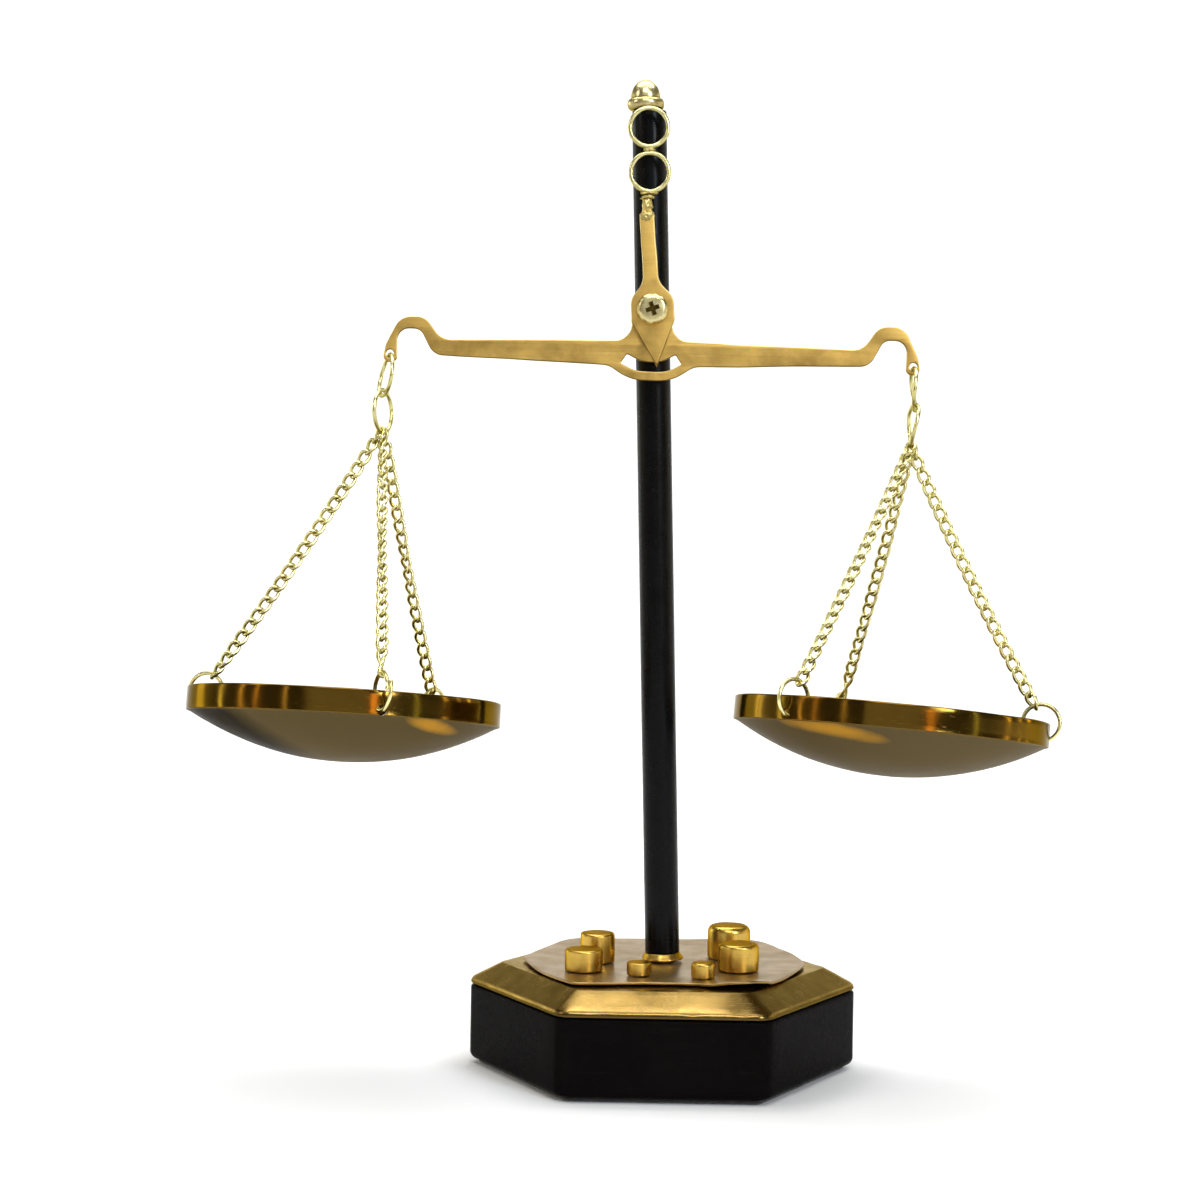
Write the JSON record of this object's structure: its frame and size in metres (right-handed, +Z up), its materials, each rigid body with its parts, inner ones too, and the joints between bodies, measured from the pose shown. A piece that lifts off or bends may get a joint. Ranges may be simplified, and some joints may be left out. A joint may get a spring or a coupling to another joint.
{
  "type": "weighing scale",
  "caption": "Brass equal-arm balance on a black hexagonal base, with pans hung on curb chains from a hooked beam and loose turned weights standing on a thin plate.",
  "frame": {"origin": "centre of the base's underside", "axes": "+Z up, +X along the beam to the right, -Y towards the front where the beam hangs"},
  "size_m": [0.2517, 0.1169, 0.2918],
  "materials": {
    "base_lacquer": "black gloss lacquer, slightly soft at the edges",
    "felt": "black felt",
    "cover_brass": "polished sheet brass with a thin clear lacquer",
    "plate_brass": "thin sheet brass, satin, slightly wavy",
    "post_steel": "satin black paint on a steel rod",
    "hardware_steel": "plain machined steel",
    "polished_brass": "turned and polished brass",
    "satin_brass": "satin brass sheet with rubbed bright edges",
    "chain_brass": "bright pale brass wire",
    "pan_brass": "dark polished spun brass",
    "weight_brass": "bright turned brass with filleted tops"
  },
  "bodies": {
    "stand": {"base_block": "base_lacquer", "felt_pad": "felt", "base_cover": "cover_brass", "top_plate": "plate_brass", "foot_collar": "polished_brass", "post": "post_steel", "post_stud": "hardware_steel", "stud_washer": "hardware_steel", "stud_nut": "hardware_steel", "finial": "polished_brass", "pivot_spacer": "hardware_steel", "pivot_screw": "polished_brass", "hanger": "satin_brass", "top_ring_upper": "satin_brass", "top_ring_lower": "satin_brass"},
    "beam": {"beam": "satin_brass"},
    "left_upper_link": {"left_upper_ring": "chain_brass"},
    "left_lower_link": {"left_lower_ring": "chain_brass"},
    "left_pan_assembly": {"left_pan": "pan_brass", "left_pan_ring_a": "chain_brass", "left_pan_ring_b": "chain_brass", "left_pan_ring_c": "chain_brass", "left_chain_a": "chain_brass", "left_chain_b": "chain_brass", "left_chain_c": "chain_brass"},
    "right_upper_link": {"right_upper_ring": "chain_brass"},
    "right_lower_link": {"right_lower_ring": "chain_brass"},
    "right_pan_assembly": {"right_pan": "pan_brass", "right_pan_ring_a": "chain_brass", "right_pan_ring_b": "chain_brass", "right_pan_ring_c": "chain_brass", "right_chain_a": "chain_brass", "right_chain_b": "chain_brass", "right_chain_c": "chain_brass"},
    "weight_back_left_body": {"weight_back_left": "weight_brass"},
    "weight_front_left_body": {"weight_front_left": "weight_brass"},
    "weight_small_left_body": {"weight_small_left": "weight_brass"},
    "weight_small_right_body": {"weight_small_right": "weight_brass"},
    "weight_front_right_body": {"weight_front_right": "weight_brass"},
    "weight_back_right_body": {"weight_back_right": "weight_brass"}
  },
  "joints": [
    {"name": "beam_tilt", "type": "hinge", "parent": "stand", "child": "beam", "pos_m": [-0.00583, -0.0093, 0.22311], "axis": [0, 1, 0], "range_deg": [-8, 8]},
    {"name": "left_ring_swing", "type": "hinge", "parent": "beam", "child": "left_upper_link", "pos_m": [-0.08238, -0.0093, 0.20923], "axis": [0, 1, 0], "range_deg": [-12, 14]},
    {"name": "left_link_swing", "type": "hinge", "parent": "left_upper_link", "child": "left_lower_link", "pos_m": [-0.08395, -0.01049, 0.1987], "axis": [1, 0, 0], "range_deg": [-10, 14]},
    {"name": "left_pan_turn", "type": "hinge", "parent": "left_lower_link", "child": "left_pan_assembly", "pos_m": [-0.08406, -0.01187, 0.18648], "axis": [0.1124, 0.1167, 0.9868], "range_deg": [-15, 15]},
    {"name": "right_ring_swing", "type": "hinge", "parent": "beam", "child": "right_upper_link", "pos_m": [0.07031, -0.0093, 0.2071], "axis": [0, -1, 0], "range_deg": [-6, 16]},
    {"name": "right_link_swing", "type": "hinge", "parent": "right_upper_link", "child": "right_lower_link", "pos_m": [0.07072, -0.01049, 0.19646], "axis": [1, 0, 0], "range_deg": [-10, 8]},
    {"name": "right_pan_turn", "type": "hinge", "parent": "right_lower_link", "child": "right_pan_assembly", "pos_m": [0.06976, -0.01187, 0.18428], "axis": [0.0693, 0.1167, 0.9908], "range_deg": [-15, 15]},
    {"name": "lift_back_left", "type": "slide", "parent": "stand", "child": "weight_back_left_body", "axis": [0, 0, 1], "range_m": [0, 0.04]},
    {"name": "lift_front_left", "type": "slide", "parent": "stand", "child": "weight_front_left_body", "axis": [0, 0, 1], "range_m": [0, 0.04]},
    {"name": "lift_small_left", "type": "slide", "parent": "stand", "child": "weight_small_left_body", "axis": [0, 0, 1], "range_m": [0, 0.04]},
    {"name": "lift_small_right", "type": "slide", "parent": "stand", "child": "weight_small_right_body", "axis": [0, 0, 1], "range_m": [0, 0.04]},
    {"name": "lift_front_right", "type": "slide", "parent": "stand", "child": "weight_front_right_body", "axis": [0, 0, 1], "range_m": [0, 0.04]},
    {"name": "lift_back_right", "type": "slide", "parent": "stand", "child": "weight_back_right_body", "axis": [0, 0, 1], "range_m": [0, 0.04]}
  ]
}
